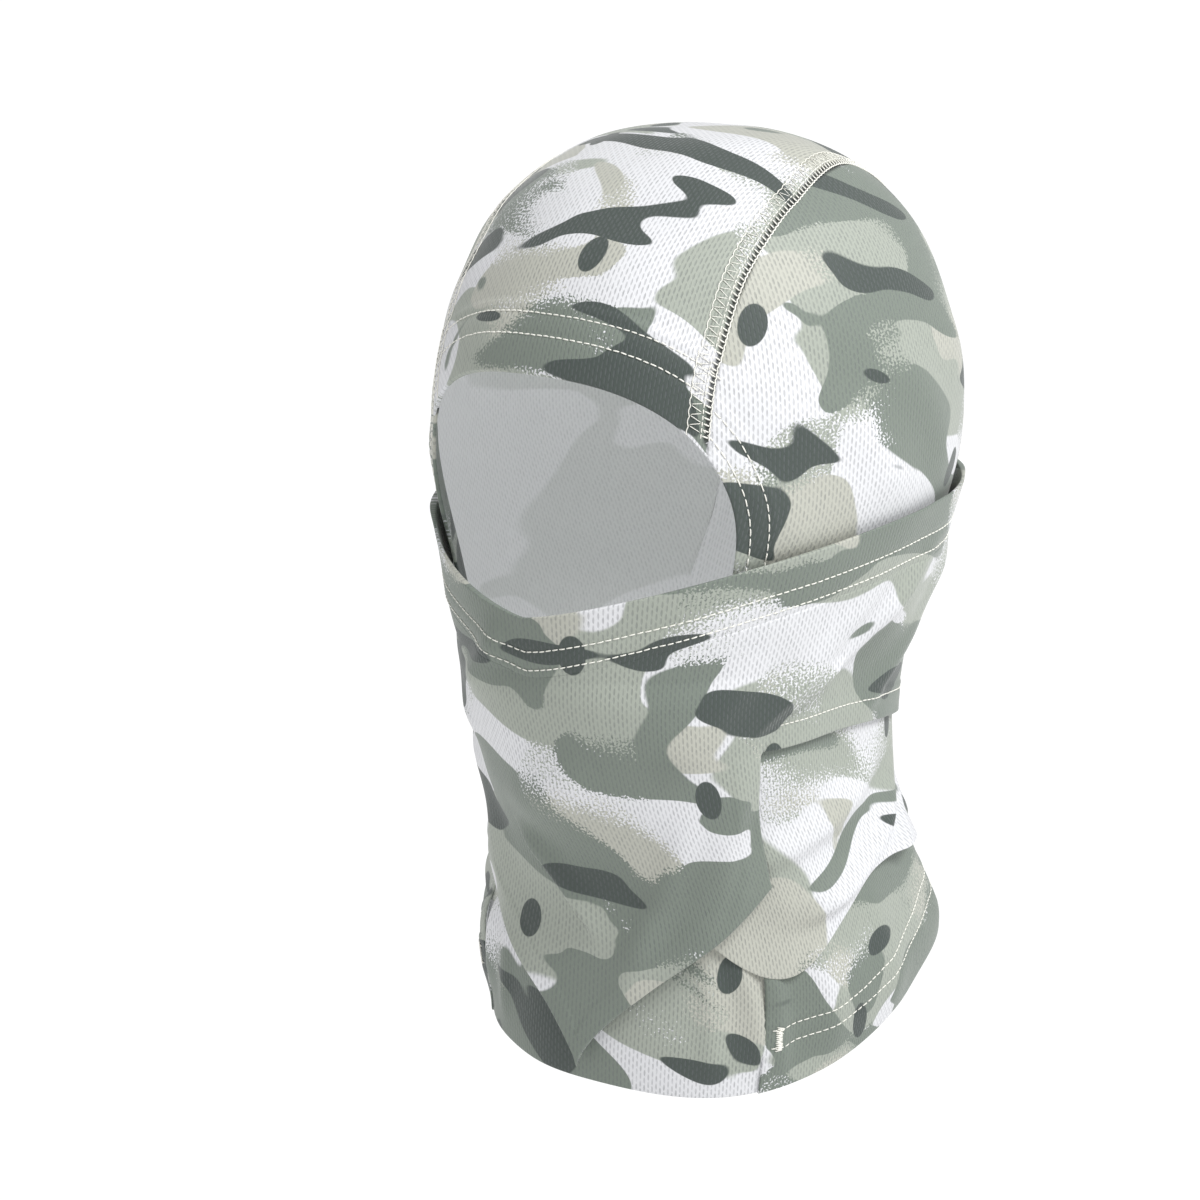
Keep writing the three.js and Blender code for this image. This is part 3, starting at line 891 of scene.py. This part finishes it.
# ---- neck ----
def tube_folds(angle, z, distance, points):
    """The neck tube's slack falls in diagonal folds from behind the ears to beside the bib."""
    folded = unturned(angle)
    folds = (
        ((120, -90), (50, -132), 4.0, 4.8, 5, 0.4),
        ((124, -108), (58, -148), 3.8, 5.0, 4, 0.5),
        ((106, -82), (42, -112), 5, 3.4, 4, 0.3),
        ((124, -100), (96, -124), 2.2, 1.6, 1, 0),
        ((126, -116), (92, -132), 2.4, 1.8, 1, 0),
        ((158, -98), (120, -122), 6, 2.2, 3, 0),
        ((176, -86), (138, -112), 6, 1.8, 3, 0),
    )
    slack = smooth((-96 - z) / 22) * smooth((np.abs(folded) - 44) / 12)
    total = sway(points, 1.0) + paired_creases(folded, z, folds)
    return total + 1.2 * slack + back_seam(angle)


tube = band("neck_tube_cloth", 330, tube_low, 9, tube_top, 52, TUBE, tube_folds, NECK_CLOTH)
settle(tube, "hood", "camo_cloth", "neck_tube")


COLLAR_LEVEL = -160  # height at which lengths along the collar are measured
FLARE_WAVE = 46  # length of the waves in the collar and the chest panel


def collar_folds(angle, z, distance, points):
    """The collar flares in soft pleats that run from the neck down to its rim."""
    folds = (
        ((47, -134), (52, -186), 4, 2.2, 1, 0.4),
        ((60, -128), (66, -182), 6, 1.6, 2, 0),
        ((84, -122), (90, -172), 7, 1.8, 2, 0),
        ((112, -116), (120, -160), 7, 1.8, 2, 0),
        ((148, -112), (156, -152), 8, 1.8, 2, 0),
    )
    total = sway(points, 1.1, FLARE_WAVE) + paired_creases(unturned(angle), z, folds)
    dents = pucker(around(angle, COLLAR_LEVEL), distance, COLLAR_ROWS)
    return total + dents + hem_step(distance, COLLAR_HEM) + back_seam(angle)


def level(height):
    return lambda angle: np.full_like(angle, height)


collar_span = (CHEST_SIDE - 1, 360 - CHEST_SIDE + 1)
collar = band(
    "collar_cloth", 270, collar_rim, COLLAR_HEM, level(NECK_TOP), 20, FABRIC, collar_folds,
    COLLAR_CLOTH, span=collar_span,
)
settle(collar, "hood", "camo_cloth", "collar")


def collar_outside(angle, z):
    """The outside of the collar's hem, where its rows and bartacks lie."""
    points = form_point(angle, z)
    between = sum(COLLAR_ROWS) / 2
    dents = pucker(around(angle, COLLAR_LEVEL), between, COLLAR_ROWS)
    return FABRIC + collar_folds(angle, z, between, points) - dents - SUNK


rows = stitched(
    "collar_hem_stitches", collar_rim, COLLAR_ROWS, collar_outside,
    (CHEST_SIDE + 1, 360 - CHEST_SIDE - 1), STITCH, 51, COLLAR_LEVEL,
)
settle(rows, "hood", "white_thread", "collar_hem_stitch_lower", "collar_hem_stitch_upper")


def bartack(side, name):
    """A bar of dense stitches that zigzags up the hem between its two rows."""
    rng = np.random.default_rng(60 + side)
    count = 24
    angle = side * (CHEST_SIDE + 3 + rng.uniform(-0.15, 0.15, count))
    z = collar_rim(angle) + np.linspace(14.2, 21.8, count)
    slant = 0.18 * (-1) ** np.arange(count)
    ends = []
    for turn in (-1, 1):
        at = z + turn * slant + rng.uniform(-0.08, 0.08, count)
        ends.append(form_point(angle + turn, at, collar_outside(angle, z) + 0.1))
    run = spindles(ends[0], ends[1], facing(form_point, angle, z), 0.2, 0.22)
    piece = thread_piece(name + "_thread", [run], WHITE_THREAD)
    settle(piece, "hood", "white_thread", name)


bartack(1, "bartack_left")
bartack(-1, "bartack_right")


def chest_folds(angle, z, distance, points):
    """The chest panel is finer cloth: a few pleats fall beside the collar's ends."""
    folds = (
        ((38, -132), (48, -184), 3.4, 1.8, 1, 0.3),
        ((30, -136), (34, -186), 4, 1.4, 1, 0),
    )
    return sway(points, 0.8, FLARE_WAVE) + paired_creases(angle, z, folds)


chest = band(
    "chest_cloth", 100, collar_rim, 9, level(NECK_TOP), 42, FABRIC - 0.2, chest_folds, CHEST_CLOTH,
    span=(-CHEST_SIDE - 4, CHEST_SIDE + 4),
)
settle(chest, "hood", "camo_cloth", "chest_panel")


# ---- hood panels ----
def brow_turn(share):
    """The direction in which the crown strip meets the brow's edge."""
    edge = form_point(*opening_edge(np.linspace(0, 180, 1441)), FABRIC)
    edge = edge[np.argsort(edge[:, 0])]
    half = crown_half(np.interp(share * 50, edge[:, 0], edge[:, 1]))
    y = np.interp(share * half, edge[:, 0], edge[:, 1])
    z = np.interp(share * half, edge[:, 0], edge[:, 2])
    return np.degrees(np.arctan2(z, -y))


def nape_turn(share):
    """The direction in which the crown strip reaches the hood's lower edge, behind the head."""
    turns = np.linspace(200, 240, 81)
    z = crown_point(share[:, None], turns)[..., 2]
    return np.array([np.interp(-HOOD_BOTTOM, -row, turns) for row in z])


def form_place(points):
    """The angle and the height of points of the form."""
    x, y, z = np.moveaxis(points, -1, 0)
    length = np.where(y < 0, reach("front", z, FABRIC), reach("back", z, FABRIC))
    side = np.maximum(reach("side", z, FABRIC), 1)
    return np.degrees(np.arctan2(x / side, -y / np.maximum(length, 1))), z


def run_length(points, axis):
    """How far each point of a grid is along its line, measured through space."""
    steps = np.linalg.norm(np.diff(points, axis=axis), axis=-1)
    first = np.zeros_like(np.take(steps, [0], axis=axis))
    return np.concatenate([first, np.cumsum(steps, axis=axis)], axis=axis)


HOOD_SWAY = 0.55
RIM = np.array([0, 0.15, 0.35, 0.7, 1.1, 1.5, 2.1, 2.8, 3.6, 4.5, 5.4, 6.2, 7.2])


def seam_groove_and_shade(distance):
    """How deep the groove under a flatlock's ladder lies, 0 to 1; it also paints shade there."""
    return smooth((1.9 - distance) / 0.5)


def crown_panel():
    """The strip from the brow's turned edge over the head to the top of the neck tube.

    Across, places are shares of the strip's half breadth, close together beside the seams. Along,
    they are directions, spaced so that the hem keeps its real distances from the fold.
    """
    rim = RIM / 50
    share = np.concatenate([rim - 1, np.linspace(-0.835, 0.835, 70), 1 - rim[::-1]])
    start = brow_turn(share)[:, None]
    stations = hem_stations(HEM_WIDTH - 1, HEM_WIDTH + 4, 0.9)
    far = np.linspace(0, 1, 150)[1:]
    probe = np.linspace(0, 1, 261)[None, :]
    turns = start + (nape_turn(share)[:, None] - start) * probe
    length = run_length(crown_point(share[:, None], turns), 1)
    along, inward = turned_edge(stations)
    along = along + 0 * start
    goal = np.concatenate([along, along[:, -1:] + (length[:, -1:] - along[:, -1:]) * far], axis=1)
    turn = np.stack([np.interp(g, s, t) for g, s, t in zip(goal, length, turns)])
    inward = np.concatenate([inward, np.zeros(len(far))])
    shown = np.concatenate([stations > 0, np.ones(len(far), bool)])
    flat = crown_point(share[:, None], turn)
    angle, z = form_place(flat)
    from_brow = np.where(flat[..., 1] < -40, opening_distance(angle, z), 99)
    across = run_length(flat, 0)
    to_seam = np.minimum(across, across[-1:] - across)
    dents = pucker(flat[..., 0], from_brow, HEM_ROWS, BROW_STITCH)
    band_dents = 0.16 * np.cos(2 * np.pi * goal / LOOP) * np.exp(-(((to_seam - 4) / 1.8) ** 2))
    line_dents = -0.2 * np.exp(-(((to_seam - SEAM_WIDTH - 0.2) / 0.7) ** 2))
    # the seam's groove: it sinks the cloth, and the mesh attribute paints shade into its colour
    groove_and_shade = seam_groove_and_shade(to_seam) * (goal > 3)
    relief = sway(flat, HOOD_SWAY) + hem_step(from_brow, HEM_WIDTH) + dents
    relief = relief + band_dents + line_dents + 0.2 * smooth((7 - to_seam) / 2) - 0.55 * groove_and_shade
    out = FABRIC + inward + np.where(shown, relief, np.minimum(relief, 0))
    points = crown_point(share[:, None], turn, out)
    middle = across[len(share) // 2] / 2 + across[len(share) // 2 - 1] / 2
    uv = np.stack([across - middle, goal], axis=-1)
    numbers = grid_numbers(len(share) - 1, goal.shape[1] - 1)
    materials = [CROWN_CLOTH, INSIDE]
    return cloth_mesh("crown_cloth", points, numbers, uv, materials, groove_and_shade=groove_and_shade)


settle(crown_panel(), "hood", "camo_cloth", "crown_panel")


def seam_angle(z, back):
    """The angle at which the crown seam crosses a height, on the front or on the back half."""
    length = np.maximum(reach("back" if back else "front", z, FABRIC), 1e-6)
    side = np.maximum(reach("side", z, FABRIC), 1e-6)
    angle = np.full_like(z, 90.0)
    for _ in range(60):
        share = np.clip(crown_half(-length * np.cos(np.radians(angle))) / side, -1, 1)
        goal = np.degrees(np.arcsin(share))
        angle = (angle + (180 - goal if back else goal)) / 2
    return angle


def seam_peak():
    """The greatest height of the crown seam, where its front and its back half meet."""
    low, high = 60.0, CROWN_TOP
    for _ in range(40):
        middle = (low + high) / 2
        z = np.array([middle])
        apart = seam_angle(z, True) - seam_angle(z, False)
        low, high = (middle, high) if apart[0] > 0.02 else (low, middle)
    return low


def side_folds(angle, z):
    """Soft drag lines of the side panels, from the crown seam down to behind the eye."""
    folds = (
        ((62, 44), (84, 2), 6, 1.3, 3, 0),
        ((78, 56), (104, 0), 7, 1.5, 4, 0),
        ((98, 62), (124, 4), 8, 1.5, 4, 0),
        ((44, 22), (60, -8), 6, 0.9, 2, 0),
    )
    return creases(angle, z, folds)


def side_panel(side, name):
    """A side panel: lines at even heights from the opening or the seam back to the seam.

    Below the seam's corner, a line keeps the hem's real distances from the opening. Above it, the
    line's places are shares of its length. The lines shrink to a point at the seam's peak.
    """
    rise = np.linspace(0, 1, 150)
    z = (HOOD_BOTTOM + (seam_peak() - HOOD_BOTTOM) * np.sin(rise * math.pi / 2))[:, None]
    stations = hem_stations(SIDE_HEM_WIDTH, 16, 0.8)
    along, inward = turned_edge(stations)
    turns = np.linspace(-89.5, 89.5, 1200)
    front = np.where(
        z < CORNER[1], np.interp(z, *opening_edge(turns)[::-1]), seam_angle(z, False)
    )
    back = seam_angle(z, True)
    per_degree = np.maximum(reach("side", z, FABRIC), 1) * math.pi / 180
    hem = np.concatenate([np.interp(z, *opening_edge(turns, d)[::-1]) for d in along], axis=1)
    width = back - front
    least_hem = along / 150  # shares of a line that is too short to keep its hem
    hem = np.maximum(hem - front, width * least_hem)
    rest = np.concatenate([np.linspace(0, 1, 64)[1:-1], 1 - RIM[5::-1] / 100])
    place = np.concatenate([hem, hem[:, -1:] + (width - hem[:, -1:]) * rest], axis=1)
    angle = front + place
    z = z + 0 * angle
    flat = form_point(angle, z, FABRIC)
    distance = opening_distance(angle, z)
    gap = np.maximum(flat[..., 0] - crown_half(flat[..., 1]), 0)
    near_seam = np.where(z > CORNER[1] - 3, gap * 1.25, 9.0)
    near_seam = np.where(flat[..., 1] > 30, gap * 1.25, near_seam)
    wall = np.concatenate([inward, np.zeros(len(rest))])
    shown = np.concatenate([stations > 0, np.ones(len(rest), bool)])
    # the seam's groove: it sinks the cloth, and the mesh attribute paints shade into its colour
    groove_and_shade = seam_groove_and_shade(near_seam + 1.3)
    dents = pucker(z, distance, SIDE_HEM_ROWS, SIDE_STITCH)
    relief = sway(flat * (side, 1, 1), HOOD_SWAY) + side_folds(angle, z)
    relief = relief + hem_step(distance, SIDE_HEM_WIDTH) + dents - 0.5 * groove_and_shade
    out = FABRIC + wall + np.where(shown, relief, np.minimum(relief, 0))
    points = form_point(angle, z, out) * (side, 1, 1)
    height = run_length(form_point(np.full((150, 1), 90.0), z[:, :1], FABRIC), 0)
    uv = np.stack([side * (angle - 90) * per_degree, height + 0 * angle], axis=-1)
    numbers = grid_numbers(z.shape[0] - 1, z.shape[1] - 1)
    if side > 0:
        numbers, uv = numbers[::-1], uv[::-1]
    materials = [HOOD_CLOTH, INSIDE]
    piece = cloth_mesh(f"side_cloth_{name}", points, numbers, uv, materials, groove_and_shade=groove_and_shade)
    settle(piece, "hood", "camo_cloth", f"side_panel_{name}")


side_panel(1, "left")
side_panel(-1, "right")


# ---- stitches of the hood ----
def opening_row(turns, distance, folds, pitch, seed):
    """A row of stitches that follows the face opening at a distance from its edge."""
    angle, z = opening_edge(turns, distance)
    base = form_point(angle, z)
    lift = FABRIC + HEM_EXTRA - SUNK + sway(base, HOOD_SWAY) + folds(np.abs(angle), z)
    points = form_point(angle, z, lift)
    length = run_length(points[None], 1)[0]
    return row_of_stitches(points, facing(form_point, angle, z), length, pitch, seed)


def no_folds(angle, z):
    return 0.0


brow_turns = np.linspace(132.5, 47.5, 500)
brow_runs = [
    opening_row(brow_turns, d, no_folds, BROW_STITCH, 71 + i) for i, d in enumerate(HEM_ROWS)
]
brow_stitches = thread_piece("brow_hem_stitches", brow_runs, WHITE_THREAD)
settle(
    brow_stitches, "hood", "white_thread", "brow_hem_stitch_inner", "brow_hem_stitch_outer"
)
for side, first, last in (("left", 43.5, -22.0), ("right", 136.5, 202.0)):
    side_turns = np.linspace(first, last, 500)
    side_runs = [
        opening_row(side_turns, d, side_folds, SIDE_STITCH, 81 + i)
        for i, d in enumerate(SIDE_HEM_ROWS)
    ]
    stitches = thread_piece(f"opening_stitches_{side}", side_runs, WHITE_THREAD)
    settle(
        stitches, "hood", "white_thread",
        f"opening_stitch_{side}_inner", f"opening_stitch_{side}_outer",
    )


def flatlock(side, name):
    """The flatlock seam: a ladder of thread over the join, and a scalloped line beside it.

    Places on it are a distance from the join, towards the middle of the crown, and a length
    along it.
    """
    turns = np.linspace(float(brow_turn(np.array([1.0]))[0]) + 3.0, 200.0, 2400)
    edge = crown_point(1.0, turns)
    inner = crown_point(0.98, turns)
    per_share = np.linalg.norm(inner - edge, axis=1) / 0.02
    length = run_length(edge[None], 1)[0]

    def on_seam(at, distance, lift):
        turn = np.interp(at, length, turns)
        share = 1 - distance / np.interp(at, length, per_share)
        base = crown_point(share, turn)
        from_brow = np.where(base[:, 1] < -40, opening_distance(*form_place(base)), 99)
        hem = hem_step(from_brow, HEM_WIDTH)
        at_side = base * (side, 1, 1)
        points = crown_point(share, turn, FABRIC + hem + sway(at_side, HOOD_SWAY) + lift)
        normals = facing(crown_point, share, turn)
        return points * (side, 1, 1), normals * (side, 1, 1)

    rungs = np.arange(1.0, length[-1] - 1, LADDER)
    starts, normals = on_seam(rungs, -0.25, 0.02)
    ends, _ = on_seam(rungs + 0.25, 1.75, 0.1)
    runs = [spindles(starts, ends, normals, 0.24, 0.12)]
    at = np.arange(0.5, length[-1] - 0.5, 0.42)
    wavy = 0.14 * np.cos(2 * np.pi * at / LADDER)
    runs.append(laid_thread(*on_seam(at, -0.45 + wavy, 0.12), 0.22))
    starts, normals = on_seam(rungs - 0.75, 1.95, 0.16)
    ends, _ = on_seam(rungs + 0.75, 1.95, 0.16)
    runs.append(spindles(starts, ends, normals, 0.2, 0.1))
    scallop = SEAM_WIDTH + 0.45 * np.abs(np.sin(np.pi * at / LOOP))
    runs.append(laid_thread(*on_seam(at, scallop, 0.12), 0.17))
    loops = np.arange(2.0, length[-1] - 2, LOOP)
    for shift, near, far in ((0.0, 2.2, 5.9), (LOOP / 2, 5.9, 2.2)):
        starts, normals = on_seam(loops + shift, near, 0.16)
        ends, _ = on_seam(loops + shift + 1.2, far, 0.16)
        runs.append(spindles(starts, ends, normals, 0.13, 0.12))
    piece = thread_piece(f"crown_seam_thread_{name}", runs, WHITE_THREAD)
    settle(piece, "hood", "white_thread", f"crown_seam_stitch_{name}")


flatlock(1, "left")
flatlock(-1, "right")


# ---- stage ----
def stage():
    """A white floor well below the mask, a white sky that dims upwards, and one soft light."""
    size, low = 40.0, COLLAR_BOTTOM * 0.001 - 0.35  # in metres
    corners = [(-size, -size, low), (size, -size, low), (size, size, low), (-size, size, low)]
    mesh = bpy.data.meshes.new("floor")
    mesh.from_pydata(corners, [], [(0, 1, 2, 3)])
    floor = bpy.data.objects.new("floor", mesh)
    bpy.context.scene.collection.objects.link(floor)
    paper = Finish("floor_paper")
    paper.set(Base_Color=(0.15, 0.15, 0.15, 1), Roughness=0.9)
    paper.set(Emission_Color=(1, 1, 1, 1), Emission_Strength=0.92)
    mesh.materials.append(paper.material)
    world = bpy.data.worlds.new("air")
    bpy.context.scene.world = world
    world.use_nodes = True
    tree = world.node_tree
    at = tree.nodes.new("ShaderNodeTexCoord")
    parts = tree.nodes.new("ShaderNodeSeparateXYZ")
    fall = tree.nodes.new("ShaderNodeMapRange")
    for part, value in (("From Min", 0.0), ("From Max", 0.3), ("To Min", 0.95), ("To Max", 0.6)):
        fall.inputs[part].default_value = value
    tree.links.new(at.outputs["Generated"], parts.inputs[0])
    tree.links.new(parts.outputs[2], fall.inputs["Value"])
    tree.links.new(fall.outputs[0], tree.nodes["Background"].inputs["Strength"])
    tree.nodes["Background"].inputs["Color"].default_value = (1, 1, 1, 1)
    lamp = bpy.data.lights.new("key", "AREA")
    lamp.energy = 25
    lamp.size = 0.6
    key = bpy.data.objects.new("key", lamp)
    bpy.context.scene.collection.objects.link(key)
    key.location = (1.12, -0.12, 1.27)
    key.rotation_mode = "QUATERNION"
    key.rotation_quaternion = (Vector((0, 0, -0.03)) - key.location).to_track_quat("-Z", "Y")


stage()
bpy.context.scene.view_settings.view_transform = "Standard"
